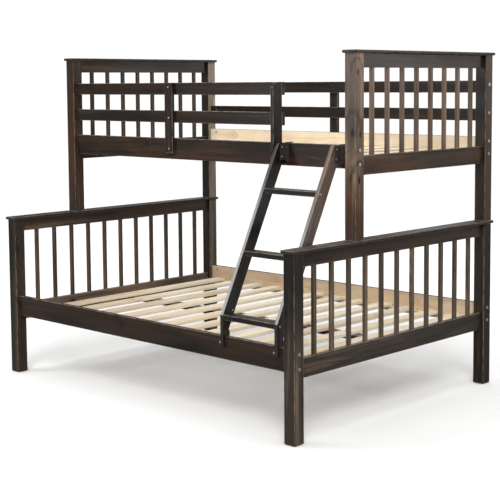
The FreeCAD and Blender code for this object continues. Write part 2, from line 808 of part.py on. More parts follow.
def make_stile(name, left, outward):
    """A leaning side, cut plumb at the upper rail and notched over the lower one."""
    kink = D["stile_top"] - (D["foot_front"] - D["stile_front"]) / D["lean"]
    outline = [
        (-D["stile_front"], D["stile_top"]),
        (-D["foot_front"], kink),
        (-D["foot_front"], D["foot_lip_low"]),
        (NOTCH_FACE, D["foot_lip_low"]),
        (NOTCH_FACE, NOTCH_TOP),
        (HEEL, NOTCH_TOP),
        (HEEL, height_on_back(HEEL)),
        (HOOK_BACK, height_on_back(HOOK_BACK)),
        (HOOK_BACK, D["stile_top"]),
    ]
    body = profile(name, outline, left, D["stile_thick"])
    edges = []
    feature = doc.getObject(body.Name + "_pad")
    doc.recompute()
    for index, edge in enumerate(feature.Shape.Edges, start=1):
        if edge.Length > 200 and edge.BoundBox.XLength < 1e-6:
            edges.append("Edge%d" % index)
    ease = body.newObject("PartDesign::Fillet", name + "_ease")
    ease.Base = (feature, edges)
    ease.Radius = number(D["bar_ease"])
    bind(ease, "Radius", D["bar_ease"])
    outer = left if outward < 0 else left + D["stile_thick"]
    inner = left if outward > 0 else left + D["stile_thick"]
    way_in = "+X" if outward < 0 else "-X"
    way_out = "-X" if outward < 0 else "+X"
    middle = left + D["stile_thick"] / 2
    tools = []
    for index in range(3):
        start = (outer + outward * 1, *rung_bolt_spot(index))
        tools.append(rod(name + "_tread_hole", start, way_in, D["rung_bolt_hole"], D["stile_thick"] + 2))
    stud_y, stud_z = stud_spot()
    tools.append(rod(name + "_stud_hole", (inner - outward * 1, stud_y, stud_z), way_out,
                     D["screw_hole"], 13))
    tools.append(rod(name + "_heel_hole", (middle, HEEL + 1, heel_screw_height()), "-Y",
                     D["screw_hole"], 15))
    for y, height in hook_screw_spots():
        start = (left + D["stile_thick"] + 1, y, height)
        tools.append(rod(name + "_hook_hole", start, "-X", D["screw_hole"], 14))
    keep(cut(name, body, tools), name)


def stud_spot():
    height = D["tread_top"] - 2 * D["tread_pitch"] + D["tread_thick"] / 2 + 13
    return back_edge(height) - 17, height


def rung_bolt_spot(index):
    height = tread_centre(index)[1]
    front = front_edge(height) if index < 2 else -D["foot_front"]
    return front + D["rung_bolt_inset"], height


def catch_height():
    return D["foot_lip_low"] + 11


def catch_lines():
    return [left - D["ear_wide"] + 2 for left in (STILE_LEFT, STILE_RIGHT)]


def heel_screw_height():
    return NOTCH_TOP + 11


def hook_screw_spots():
    """Two screws through the hook's flange, far enough from the edges of the stile."""
    y = HOOK_BACK - D["flange_deep"] + 9
    return [(y + 3, D["stile_top"] - 18), (y, D["stile_top"] - 62)]


def make_tread(index):
    name = "ladder_rung_%d" % (index + 1)
    y, height = tread_centre(index)
    left = STILE_LEFT + D["stile_thick"]
    low = (left, y - D["tread_deep"] / 2, height - D["tread_thick"] / 2)
    high = (STILE_RIGHT, y + D["tread_deep"] / 2, height + D["tread_thick"] / 2)
    body = timber(name, low, high, "X", D["bar_ease"])
    tools = []
    for start_x, way in ((left - 1, "+X"), (STILE_RIGHT + 1, "-X")):
        start = (start_x, *rung_bolt_spot(index))
        tools.append(rod(name + "_hole", start, way, D["rung_bolt_hole"], 29))
    keep(cut(name, body, tools), name)


def make_hooks():
    """Bent angle hooks: a flange on the side of each stile, and a strap over the upper rail."""
    inside = LINE_TWIN + HALF_RAIL + GAP
    over = D["side_upper"] + D["side_high"] + GAP
    thick = D["hook_thick"]
    low = D["hook_low"]
    outline = [
        (HOOK_FRONT, low),
        (HOOK_BACK, low),
        (HOOK_BACK, over),
        (inside, over),
        (inside, over - D["hook_drop"]),
        (inside + thick, over - D["hook_drop"]),
        (inside + thick, over + thick),
        (HOOK_FRONT, over + thick),
    ]
    hooks = []
    for side, left in (("left", STILE_LEFT), ("right", STILE_RIGHT)):
        name = "hook_" + side
        near = left + D["stile_thick"]
        strap = profile(name + "_strap", outline, near, D["hook_wide"])
        corner = (near, HOOK_BACK - D["flange_deep"], low + 8)
        flange = block(name + "_flange", corner, (near + thick, HOOK_BACK, D["stile_top"] - 4))
        body = joined(name, [strap, flange])
        tools = []
        for y, height in hook_screw_spots():
            tools.append(rod(name + "_hole", (near - 1, y, height), "+X", D["screw_hole"], thick + 2))
        hooks.append(cut(name, body, tools))
    group = doc.addObject("Part::Compound", "ladder_hooks")
    group.Links = hooks
    keep(group, "ladder_hooks")


def make_saddles():
    """Steel plates that line the foot notches, with a slotted ear beside each stile."""
    thick = D["saddle_thick"]
    lip_end = D["foot_lip_low"] + 3
    outline = [
        (NOTCH_FACE, lip_end),
        (NOTCH_FACE + thick, lip_end),
        (NOTCH_FACE + thick, NOTCH_TOP - thick),
        (HEEL + thick, NOTCH_TOP - thick),
        (HEEL + thick, NOTCH_TOP + 20),
        (HEEL, NOTCH_TOP + 20),
        (HEEL, NOTCH_TOP),
        (NOTCH_FACE, NOTCH_TOP),
    ]
    plates = []
    for (side, left), catch_x in zip((("left", STILE_LEFT), ("right", STILE_RIGHT)), catch_lines()):
        name = "saddle_" + side
        middle = left + D["stile_thick"] / 2
        plate = profile(name + "_plate", outline, middle - D["saddle_wide"] / 2, D["saddle_wide"])
        ear_low = D["foot_lip_low"] - 2
        corner = (left - D["ear_wide"] - 6, NOTCH_FACE, ear_low)
        ear = block(name + "_ear", corner, (middle, NOTCH_FACE + thick, ear_low + D["ear_high"]))
        body = joined(name, [plate, ear])
        heel = rod(name + "_hole", (middle, HEEL - 1, heel_screw_height()), "+Y", D["screw_hole"], thick + 2)
        half = D["ear_slot"] / 2
        slot_low = (catch_x - half, NOTCH_FACE - 1, ear_low - 1)
        slot = block(name + "_slot", slot_low, (catch_x + half, NOTCH_FACE + thick + 1, catch_height()))
        throat = rod(name + "_throat", (catch_x, NOTCH_FACE - 1, catch_height()), "+Y",
                     D["ear_slot"], thick + 2)
        plates.append(cut(name, body, [heel, slot, throat]))
    group = doc.addObject("Part::Compound", "ladder_foot_saddles")
    group.Links = plates
    keep(group, "ladder_foot_saddles")


# ---------------------------------------------------------------- hardware

def make_bolt_pattern():
    """Flat-headed bolt with a hexagon socket; the head's underside is at the origin, shank along +Z."""
    shank = rod("bolt_shank", (0, 0, 0), "+Z", D["bolt_dia"], D["bolt_long"])
    head = rod("bolt_head", (0, 0, -D["bolt_head_high"]), "+Z", D["bolt_head_dia"], D["bolt_head_high"])
    body = joined("bolt_body", [shank, head])
    socket = doc.addObject("Part::Prism", "bolt_socket")
    socket.Polygon = 6
    socket.Circumradius = 2.3
    socket.Height = 4
    place(socket, (0, 0, -D["bolt_head_high"] - 1))
    pattern = doc.addObject("Part::Cut", "bolt_pattern")
    pattern.Base = body
    pattern.Tool = socket
    return pattern


def make_nut_pattern():
    """Barrel nut lying along +Z from its outer end, with the cross hole for the bolt."""
    barrel = rod("nut_barrel", (0, 0, 0), "+Z", D["nut_dia"], D["nut_long"])
    hole = rod("nut_thread", (-D["nut_dia"], 0, D["nut_long"] / 2), "+X", D["bolt_hole"], 2 * D["nut_dia"])
    return cut("nut_pattern", barrel, [hole])


def make_bolts_and_nuts():
    bolt = make_bolt_pattern()
    nut = make_nut_pattern()
    for bed in ("lower", "upper"):
        bolts = []
        nuts = []
        for place_name in ("front", "back"):
            toward_room = -1 if place_name == "front" else 1
            line = post_line(bed, place_name)
            for side, sign in SIDES:
                heights = post_heights(bed, place_name, side)
                nut_x = sign * (INNER_X - D["nut_back"])
                nut_y = line - toward_room * D["nut_long"] / 2
                for height in heights:
                    bolts.append(((sign * HALF, line, height), "-X" if sign > 0 else "+X"))
                    nuts.append(((nut_x, nut_y, height), "+Y" if toward_room > 0 else "-Y"))
        copies(bed + "_bed_bolts", bolt, bolts)
        copies(bed + "_barrel_nuts", nut, nuts)


def pan_screw(name, long, dia=D["screw_dia"], head=D["screw_head"]):
    """Screw with a low domed head; the head's underside is at the origin, shank along +Z."""
    shank = rod(name + "_shank", (0, 0, 0), "+Z", dia, long)
    base = rod(name + "_rim", (0, 0, -1), "+Z", head, 1)
    crown = taper(name + "_crown", (0, 0, -D["screw_head_high"]), "+Z",
                  head - 4, head, D["screw_head_high"] - 1)
    return joined(name, [shank, base, crown])


def sunk_screw(name, long):
    """Countersunk screw; the flat head is at the origin, shank along +Z."""
    shank = rod(name + "_shank", (0, 0, 0), "+Z", D["screw_dia"], long)
    head = taper(name + "_head", (0, 0, 0), "+Z", D["screw_head"] - 1, D["screw_dia"], 2.4)
    return joined(name, [shank, head])


def make_slat_screws():
    screw = sunk_screw("slat_screw_pattern", 27)
    spots = []
    for bed in ("lower", "upper"):
        top = slat_floor(bed) + D["slat_thick"]
        for place_name in ("front", "back"):
            for x in slat_lines():
                spots.append(((x, screw_line(bed, place_name), top - 0.2), "-Z"))
    copies("slat_screws", screw, spots)


def make_guard_screws():
    short = pan_screw("guard_screw_short", 34)
    long = pan_screw("guard_screw_long", 47)
    spots = []
    for height in guard_screw_heights():
        spots.append((short, (BOARD_X, FRONT_FACE - D["board_thick"], height), "+Y"))
        spots.append((short, (0, BACK_FACE + D["board_thick"], height), "-Y"))
    for height in guard_screw_heights()[:2]:
        spots.append((long, (GRAB_X, FRONT_FACE + D["guard_thick"], height), "-Y"))
    spots.append((long, (GRAB_X, FRONT_FACE + D["rail_thick"], guard_screw_heights()[2]), "-Y"))
    mixed_copies("guard_screws", spots)


def mixed_copies(name, spots):
    links = []
    for index, (master, at, way) in enumerate(spots):
        link = doc.addObject("App::Link", "%s_%02d" % (name, index + 1))
        link.LinkedObject = master
        link.LinkTransform = False
        place(link, at, TURN[way])
        links.append(link)
    group = doc.addObject("Part::Compound", name)
    group.Links = links
    return keep(group, name)


def make_ladder_screws():
    rung_bolt = pan_screw("rung_bolt", 45, D["rung_bolt_dia"], D["rung_bolt_head"])
    stud = pan_screw("stud_screw", 11)
    heel_screw = pan_screw("heel_screw", 14)
    hook_screw = pan_screw("hook_screw", 15)
    spots = []
    for left, outward in ((STILE_LEFT, -1), (STILE_RIGHT, 1)):
        outer = left if outward < 0 else left + D["stile_thick"]
        inner = left if outward > 0 else left + D["stile_thick"]
        way_in = "+X" if outward < 0 else "-X"
        way_out = "-X" if outward < 0 else "+X"
        middle = left + D["stile_thick"] / 2
        for index in range(3):
            spots.append((rung_bolt, (outer, *rung_bolt_spot(index)), way_in))
        spots.append((stud, (inner, *stud_spot()), way_out))
        spots.append((heel_screw, (middle, HEEL + D["saddle_thick"], heel_screw_height()), "-Y"))
        near = left + D["stile_thick"] + D["hook_thick"]
        for y, height in hook_screw_spots():
            spots.append((hook_screw, (near, y, height), "-X"))
    mixed_copies("ladder_screws", spots)


def make_catch_screws():
    """Screws in the lower rail that the slotted ears of the ladder drop over."""
    screw = pan_screw("catch_screw_pattern", 20)
    spots = [((x, NOTCH_FACE - 0.4, catch_height()), "+Y") for x in catch_lines()]
    copies("foot_catch_screws", screw, spots)


def make_pins_and_glides():
    long = 2 * D["pin_bury"] + D["cap_thick"] - 2
    pin = rod("pin_pattern", (0, 0, 0), "+Z", D["pin_dia"], long)
    bottom = D["lower_top"] - D["cap_thick"] - D["pin_bury"] + 1
    spots = []
    for line in (LINE_TWIN, LINE_BACK):
        for _, sign in SIDES:
            spots.append(((sign * MID_X, line, bottom), "+Z"))
    copies("stacking_pins", pin, spots)

    disc = rod("glide_disc", (0, 0, 0), "+Z", D["glide_dia"], D["glide_high"])
    nail = rod("glide_nail", (0, 0, 0), "+Z", D["screw_dia"] - 1, D["glide_high"] + 15)
    glide = joined("glide_pattern", [disc, nail])
    spots = []
    for line in (LINE_FULL, LINE_BACK):
        for _, sign in SIDES:
            spots.append(((sign * MID_X, line, 0), "+Z"))
    copies("floor_glides", glide, spots)


# ---------------------------------------------------------------- assembly

def build():
    for bed in ("lower", "upper"):
        master = spindle_master(bed)
        for side, sign in SIDES:
            for place_name in ("front", "back"):
                make_post(bed, place_name, side, sign)
            make_cap(bed, side, sign)
            levels = zip(("bottom", "top"), panel_rail_heights(bed))
            for level, (rail_low, rail_high) in levels:
                make_panel_rail(bed, level, side, sign, rail_low, rail_high)
            make_spindles(bed, side, sign, master)
        for place_name in ("front", "back"):
            make_side_rail(bed, place_name)
            make_cleat(bed, place_name)
        make_slats(bed)
    make_beam()
    for level, low_z, screw_rise in GUARDS:
        make_guard_rail("front", level, low_z, screw_rise)
        make_guard_rail("back", level, low_z, screw_rise)
    make_guard_boards()
    make_grab_board()
    make_stile("ladder_stile_left", STILE_LEFT, -1)
    make_stile("ladder_stile_right", STILE_RIGHT, 1)
    for index in range(3):
        make_tread(index)
    make_hooks()
    make_saddles()
    make_bolts_and_nuts()
    make_slat_screws()
    make_guard_screws()
    make_ladder_screws()
    make_catch_screws()
    make_pins_and_glides()


def check():
    bad = []
    for obj in doc.Objects:
        if "Invalid" in obj.State or "Error" in obj.State:
            bad.append(obj.Name)
    for obj in SUBPARTS:
        if obj.Shape.isNull() or not obj.Shape.isValid() or not obj.Shape.Solids:
            bad.append(obj.Label)
    if bad:
        print("failed:", bad)
        sys.exit(1)


def export():
    for obj in SUBPARTS:
        path = os.path.join("parts", obj.Label + ".step")
        obj.Shape.exportStep(path)
        box = obj.Shape.BoundBox
        print("%-28s %2d solids  %8.1f %8.1f %8.1f  to %8.1f %8.1f %8.1f" % (
            obj.Label, len(obj.Shape.Solids),
            box.XMin, box.YMin, box.ZMin, box.XMax, box.YMax, box.ZMax))
    print(len(SUBPARTS), "sub-parts")


build()
doc.recompute()
check()
export()
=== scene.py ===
import math
import random

import bpy
from mathutils import Matrix, Vector


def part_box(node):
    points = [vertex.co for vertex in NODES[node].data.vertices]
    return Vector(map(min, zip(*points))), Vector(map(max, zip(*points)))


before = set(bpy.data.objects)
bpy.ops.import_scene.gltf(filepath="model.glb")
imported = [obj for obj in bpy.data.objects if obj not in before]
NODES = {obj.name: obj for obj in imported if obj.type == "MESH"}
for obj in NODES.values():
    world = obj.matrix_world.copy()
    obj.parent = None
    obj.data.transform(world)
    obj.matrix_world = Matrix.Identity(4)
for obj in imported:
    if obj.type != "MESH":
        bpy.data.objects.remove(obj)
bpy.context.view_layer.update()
rng = random.Random(4173)

# ---------------------------------------------------------------- node-graph helpers


class Graph:
    """A short way to write a material's node graph."""

    def __init__(self, name):
        self.material = bpy.data.materials.new(name)
        self.material.use_nodes = True
        self.tree = self.material.node_tree
        self.tree.nodes.clear()
        self.output = self.tree.nodes.new("ShaderNodeOutputMaterial")
        self.shader = self.tree.nodes.new("ShaderNodeBsdfPrincipled")
        self.link(self.shader.outputs["BSDF"], self.output.inputs["Surface"])

    def link(self, source, target):
        self.tree.links.new(source, target)

    def feed(self, socket, value):
        if isinstance(value, bpy.types.NodeSocket):
            self.link(value, socket)
        else:
            socket.default_value = value

    def set(self, name, value):
        self.feed(self.shader.inputs[name], value)

    def coords(self, kind="Object"):
        return self.tree.nodes.new("ShaderNodeTexCoord").outputs[kind]

    def math(self, op, a, b=0.0, clamp=False):
        node = self.tree.nodes.new("ShaderNodeMath")
        node.operation = op
        node.use_clamp = clamp
        self.feed(node.inputs[0], a)
        self.feed(node.inputs[1], b)
        return node.outputs[0]

    def vector(self, op, a, b=(0.0, 0.0, 0.0)):
        node = self.tree.nodes.new("ShaderNodeVectorMath")
        node.operation = op
        self.feed(node.inputs[0], a)
        self.feed(node.inputs[1], b)
        return node.outputs["Value"] if op == "LENGTH" else node.outputs[0]

    def split(self, vector):
        node = self.tree.nodes.new("ShaderNodeSeparateXYZ")
        self.feed(node.inputs[0], vector)
        return node.outputs

    def join(self, x, y, z):
        node = self.tree.nodes.new("ShaderNodeCombineXYZ")
        for socket, value in zip(node.inputs, (x, y, z)):
            self.feed(socket, value)
        return node.outputs[0]

    def stretched(self, parts, scales):
        """A point with each of its coordinates scaled on its own."""
        return self.join(*(self.math("MULTIPLY", part, scale) for part, scale in zip(parts, scales)))

    def noise(self, vector, scale=1.0, detail=2.0, roughness=0.5, colour=False):
        node = self.tree.nodes.new("ShaderNodeTexNoise")
        self.feed(node.inputs["Vector"], vector)
        node.inputs["Scale"].default_value = scale
        node.inputs["Detail"].default_value = detail
        node.inputs["Roughness"].default_value = roughness
        return node.outputs["Color"] if colour else node.outputs["Fac"]

    def cells(self, vector, output="Distance"):
        node = self.tree.nodes.new("ShaderNodeTexVoronoi")
        self.feed(node.inputs["Vector"], vector)
        node.inputs["Scale"].default_value = 1.0
        return node.outputs[output]

    def chance(self, value):
        node = self.tree.nodes.new("ShaderNodeTexWhiteNoise")
        node.noise_dimensions = "1D"
        self.feed(node.inputs["W"], value)
        return node.outputs["Value"]

    def step(self, value, low, high, out_low=0.0, out_high=1.0):
        node = self.tree.nodes.new("ShaderNodeMapRange")
        node.interpolation_type = "SMOOTHSTEP"
        limits = {"From Min": low, "From Max": high, "To Min": out_low, "To Max": out_high}
        for key, number in limits.items():
            node.inputs[key].default_value = number
        self.feed(node.inputs["Value"], value)
        return node.outputs["Result"]

    def mix(self, factor, a, b, blend="MIX"):
        node = self.tree.nodes.new("ShaderNodeMix")
        node.data_type = "RGBA"
        node.blend_type = blend
        self.feed(node.inputs[0], factor)
        for socket, value in ((node.inputs[6], a), (node.inputs[7], b)):
            self.feed(socket, (*value, 1.0) if isinstance(value, tuple) else value)
        return node.outputs[2]

    def bump(self, height, strength, distance):
        node = self.tree.nodes.new("ShaderNodeBump")
        node.inputs["Strength"].default_value = strength
        node.inputs["Distance"].default_value = distance
        self.feed(node.inputs["Height"], height)
        self.set("Normal", node.outputs[0])


# ---------------------------------------------------------------- wood

# The dark stain of the frame, in linear colours, and how strongly each part of the figure shows; the worn
# edge colour and its share carry wear and a painted highlight on the arrises.
ESPRESSO = {
    "deep": (0.0045, 0.0036, 0.0028), "body": (0.0215, 0.0170, 0.0125), "pale": (0.082, 0.058, 0.039),
    "warm": (0.066, 0.028, 0.0130), "lit_wear_colour": (0.27, 0.235, 0.195), "knot": (0.005, 0.0032, 0.0024),
    "ring": 0.50, "streak": 0.66, "fibre": 0.32, "edge": 0.60, "vary": 0.28,
    "rough": 0.33, "level": 0.23, "coat": 0.08, "coat_rough": 0.20, "bump": 0.24,
}
# The ladder's sides carry a thicker lacquer.
LACQUERED = {**ESPRESSO, "body": (0.0215, 0.0175, 0.0145), "pale": (0.075, 0.059, 0.050),
             "warm": (0.060, 0.032, 0.022), "coat": 0.80, "coat_rough": 0.14}
# The timber left natural.
PINE = {
    "deep": (0.50, 0.350, 0.205), "body": (0.68, 0.590, 0.450), "pale": (0.74, 0.690, 0.590),
    "warm": (0.66, 0.500, 0.340), "lit_wear_colour": (0.72, 0.650, 0.530), "knot": (0.17, 0.075, 0.032),
    "ring": 0.42, "streak": 0.55, "fibre": 0.14, "edge": 0.30, "vary": 0.34,
    "rough": 0.50, "level": 0.40, "coat": 0.05, "coat_rough": 0.35, "bump": 0.16,
}

# Each board's lightness and redness: partly how it took its finish, partly painted light and shade for how
# the lamps fall on it; lightness first, then redness.
TONE_AND_PAINTED_LIGHT = {
    "ladder_stile_left": (0.45, 0.0), "ladder_stile_right": (4.9, 0.20), "ladder_rung_1": (1.0, 0.1),
    "ladder_rung_2": (0.9, 0.1), "ladder_rung_3": (0.9, 0.1), "upper_post_front_right": (6.6, 0.34),
    "upper_post_back_right": (1.05, 0.25), "upper_post_back_left": (1.0, 0.0),
    "upper_post_front_left": (1.5, 0.45), "lower_post_back_right": (1.3, 0.0),
    "lower_post_back_left": (0.9, 0.0), "lower_post_front_left": (1.1, 0.12),
    "lower_post_front_right": (2.0, 0.02), "guard_rail_front_upper": (0.78, 0.50),
    "guard_rail_front_lower": (0.85, 0.15), "guard_board_front": (0.8, 0.2),
    "guard_rail_back_upper": (0.8, 0.3), "guard_rail_back_lower": (0.8, 0.3),
    "guard_grab_board": (0.9, 0.1), "upper_side_rail_front": (0.78, 0.80),
    "lower_side_rail_front": (0.95, 0.40), "upper_side_rail_back": (1.45, 0.1),
    "lower_side_rail_back": (1.02, 0.7), "upper_slats": (1.4, 0.0),
    "upper_bottom_rail_right": (1.4, 0.60), "upper_top_rail_right": (0.9, 0.60),
    "upper_spindles_right": (5.4, 0.25), "lower_bottom_rail_right": (2.0, 0.02),
    "lower_top_rail_right": (1.9, 0.15), "lower_spindles_right": (4.4, 0.10),
    "lower_spindles_left": (2.8, 0.20), "upper_spindles_left": (1.7, 0.30),
    "lower_bottom_rail_left": (6.5, 0.10), "lower_top_rail_left": (2.4, 0.25),
    "upper_top_rail_left": (1.3, 0.30),
}

# Any other board's lightness and redness.
PLAIN_TONE = (1.0, 0.25)

# Boards painted darker along their height, as painted shade towards the deep end and painted light towards
# the light end: where the deep end and the light end are, in metres, then the share of the lightness that is
# left at the deep end.
PAINTED_SHADE_ALONG_HEIGHT = {
    "ladder_stile_right": (0.55, 0.95, 0.12), "upper_post_front_right": (0.95, 1.25, 0.24),
    "lower_post_front_right": (0.72, 0.42, 0.45), "lower_post_front_left": (0.75, 0.50, 0.75),
}

# The lower slats' painted light and shade, as lightness at the left and at the right of the bed, for their
# front and their back ends.
SLAT_PAINTED_LIGHT_FRONT = (0.88, 1.08)
SLAT_PAINTED_LIGHT_BACK = (1.40, 1.06)

# Boards whose face towards +X is painted lighter or darker than the rest, as painted light, sheen and shade
# on that side: how many times lighter that face is.
PAINTED_SIDE_LIGHT = {
    "upper_post_back_left": 13.0, "upper_post_back_right": 2.2, "lower_post_back_left": 9.0,
    "lower_post_front_left": 1.7, "lower_post_front_right": 1.45, "lower_post_back_right": 0.6,
    "lower_slats": 1.45,
}

# No timber here is paler than this.
PALEST = (0.90, 0.86, 0.78)

# Single knots, in metres in the bed's own frame: place, then radius.
KNOTS = {
    "upper_post_front_right": [((0.990, -0.339, 1.300), 0.021), ((1.006, -0.305, 1.290), 0.014),
                               ((1.006, -0.312, 1.092), 0.018), ((1.006, -0.322, 1.561), 0.014)],
    "upper_top_rail_right": [((0.995, 0.117, 1.572), 0.016)],
    "upper_side_rail_back": [((-0.757, 0.697, 1.210), 0.008), ((0.150, 0.697, 1.190), 0.007)],
    "lower_side_rail_back": [((-0.420, 0.697, 0.380), 0.009), ((0.560, 0.697, 0.372), 0.008)],
    "lower_slats": [((-0.695, -0.151, 0.342), 0.013), ((-0.540, 0.110, 0.342), 0.008),
                    ((0.073, 0.495, 0.342), 0.009), ((0.560, 0.380, 0.342), 0.010),
                    ((0.700, -0.350, 0.342), 0.009), ((-0.230, -0.420, 0.342), 0.008)],
    "upper_side_rail_front": [((0.464, -0.330, 1.240), 0.018), ((-0.420, -0.330, 1.215), 0.013)],
    "lower_post_front_left": [((-0.980, -0.742, 0.640), 0.018), ((-0.985, -0.742, 0.384), 0.010)],
    "lower_post_front_right": [((0.962, -0.742, 0.560), 0.014)],
    "lower_side_rail_front": [((-0.150, -0.740, 0.370), 0.013), ((0.380, -0.740, 0.350), 0.010)],
    "guard_rail_front_lower": [((0.420, -0.350, 1.369), 0.009)],
}

# For a grain direction: which coordinates run across, through and along the board.
ORDER = {"X": (1, 2, 0), "Y": (0, 2, 1), "Z": (0, 1, 2)}

# Metres: from one growth ring to the next; from an arris to where its wear and painted highlight start to
# fade and where they end.
RING_PITCH = 0.0052
LIT_WEAR_WITHIN = 0.0008
LIT_WEAR_UNTIL = 0.0040

# The share of a knot's radius that is dark core.
KNOT_CORE = 0.65

# Metres, over the bar; then the ladder's run over its rise.
SLAT_WIDTH = 0.063
SPINDLE_WIDTH = 0.018
LADDER_LEAN = 0.498


def wood_fields(g, node, axis, cell=None, tilt=0.0):
    """Rings, streaks, fibres, knots, and worn edges with a painted highlight, of a board, in metres.

    A cell is for a node of many equal bars: the axis they repeat on, their pitch, the first one's place from
    the middle of the node, and half a bar's width.
    """
    low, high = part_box(node)
    place = g.vector("SUBTRACT", g.coords(), tuple((low + high) / 2))
    if tilt:
        turn = g.tree.nodes.new("ShaderNodeVectorRotate")
        turn.rotation_type = "X_AXIS"
        turn.inputs["Angle"].default_value = tilt
        g.link(place, turn.inputs["Vector"])
        place = turn.outputs[0]
    parts = g.split(place)
    across, through, along = (parts[index] for index in ORDER[axis])
    luck = rng.uniform(0.0, 60.0)
    half = [size / 2 for size in high - low]
    centred = list(parts)
    if cell:
        which, pitch, first, half[which] = cell
        raw = g.math("DIVIDE", g.math("SUBTRACT", parts[which], first), pitch)
        index = g.math("FLOOR", g.math("ADD", raw, 0.5))
        local = g.math("MULTIPLY", g.math("SUBTRACT", raw, index), pitch)
        centred[which] = local
        luck = g.math("ADD", g.math("MULTIPLY", index, 7.31), luck)
        if ORDER[axis].index(which) == 0:
            across = local
        else:
            through = local
    gaps = [g.math("SUBTRACT", reach, g.math("ABSOLUTE", part)) for reach, part in zip(half, centred)]
    near = g.math("MINIMUM", gaps[0], gaps[1])
    far = g.math("MAXIMUM", gaps[0], gaps[1])
    middle = g.math("MAXIMUM", near, g.math("MINIMUM", far, gaps[2]))
    # Wear and a painted highlight along the arrises: none on the ladder sides, less on the spindles.
    wear = 0.0 if tilt else 0.3 if "_spindles_" in node else 1.0
    edge = g.step(middle, LIT_WEAR_WITHIN, LIT_WEAR_UNTIL, wear, 0.0)
    pith_u = g.math("MULTIPLY", g.math("SUBTRACT", g.chance(luck), 0.5), 0.16)
    pith_v = g.math("ADD", g.math("MULTIPLY", g.chance(g.math("ADD", luck, 3.7)), 0.09), 0.015)
    board = g.chance(g.math("ADD", luck, 9.1))
    shift = g.math("MULTIPLY", luck, 1.37)
    drift = g.math("ADD", along, shift)

    grain = (across, through, drift)
    warp = g.noise(g.stretched(grain, (3.0, 3.0, 1.0)), 1.3, 2.0, 0.5, colour=True)
    warp_u, warp_v, _ = g.split(g.vector("SUBTRACT", warp, (0.5, 0.5, 0.5)))
    knot_at = g.join(g.math("ADD", g.math("MULTIPLY", across, 5.0), shift),
                     g.math("MULTIPLY", through, 5.0), g.math("MULTIPLY", drift, 2.3))
    knot_far = g.cells(knot_at)
    knot_luck = g.split(g.cells(knot_at, output="Color"))[0]
    knot_size = g.math("MULTIPLY", g.step(knot_luck, 0.45, 0.95), 0.10)
    knot = g.math("SUBTRACT", 1.0, g.math("DIVIDE", knot_far, g.math("ADD", knot_size, 0.001)), clamp=True)
    swirl = g.math("MULTIPLY", g.step(knot_far, 0.02, 0.42, 1.0, 0.0), g.step(knot_luck, 0.45, 0.75))

    halo = 0.0
    for spot, size in KNOTS.get(node, ()):
        away = g.vector("SUBTRACT", place, tuple(Vector(spot) - (low + high) / 2))
        squeeze = [1.0, 1.0, 1.0]
        squeeze["XYZ".index(axis)] = 0.45
        far = g.vector("LENGTH", g.vector("MULTIPLY", away, tuple(squeeze)))
        far = g.math("MULTIPLY", far, g.math("ADD", 0.75, g.math("MULTIPLY", g.noise(place, 45.0, 3.0), 0.5)))
        knot = g.math("MAXIMUM", knot, g.step(far, 0.0, size * KNOT_CORE, 1.0, 0.0))
        swirl = g.math("MAXIMUM", swirl, g.step(far, size * 0.7, size * 3.4, 1.0, 0.0))
        band = g.math("ABSOLUTE", g.math("SUBTRACT", far, size * 2.0))
        arch = g.step(g.split(away)["XYZ".index(axis)], -size * 1.6, size * 1.2, 0.15, 1.0)
        arc = g.step(band, size * 0.08, size * 0.50, 1.0, 0.0)
        halo = g.math("MAXIMUM", halo, g.math("MULTIPLY", arc, arch))

    u = g.math("ADD", g.math("SUBTRACT", across, pith_u), g.math("MULTIPLY", warp_u, 0.030))
    v = g.math("ADD", g.math("ADD", through, pith_v), g.math("MULTIPLY", warp_v, 0.030))
    radius = g.math("SQRT", g.math("ADD", g.math("MULTIPLY", u, u), g.math("MULTIPLY", v, v)))
    turns = g.math("ADD", g.math("DIVIDE", radius, RING_PITCH), g.math("MULTIPLY", swirl, 3.2))
    wander = g.noise(g.join(u, v, g.math("MULTIPLY", drift, 0.5)), 9.0)
    turns = g.math("ADD", turns, g.math("MULTIPLY", wander, 1.6))
    saw = g.math("FRACT", turns)
    ring = g.math("MULTIPLY", g.step(saw, 0.25, 0.86), g.step(saw, 0.93, 1.0, 1.0, 0.0))

    figure = (u, v, drift)
    streak = g.noise(g.stretched(figure, (34.0, 34.0, 1.4)), 1.0, 3.0, 0.55)
    cloud = g.noise(g.stretched(grain, (9.0, 9.0, 2.2)), 1.0, 2.0, 0.5)
    edge = g.math("MULTIPLY", edge, g.step(g.noise(place, 26.0, 3.0, 0.6), 0.30, 0.62))
    fibre = g.noise(g.stretched(figure, (900.0, 900.0, 16.0)), 1.0, 2.0, 0.6)
    return {"ring": ring, "streak": streak, "cloud": cloud, "fibre": fibre, "knot": knot, "swirl": swirl,
            "board": board, "edge": edge, "halo": halo, "level": g.split(g.coords())[2]}


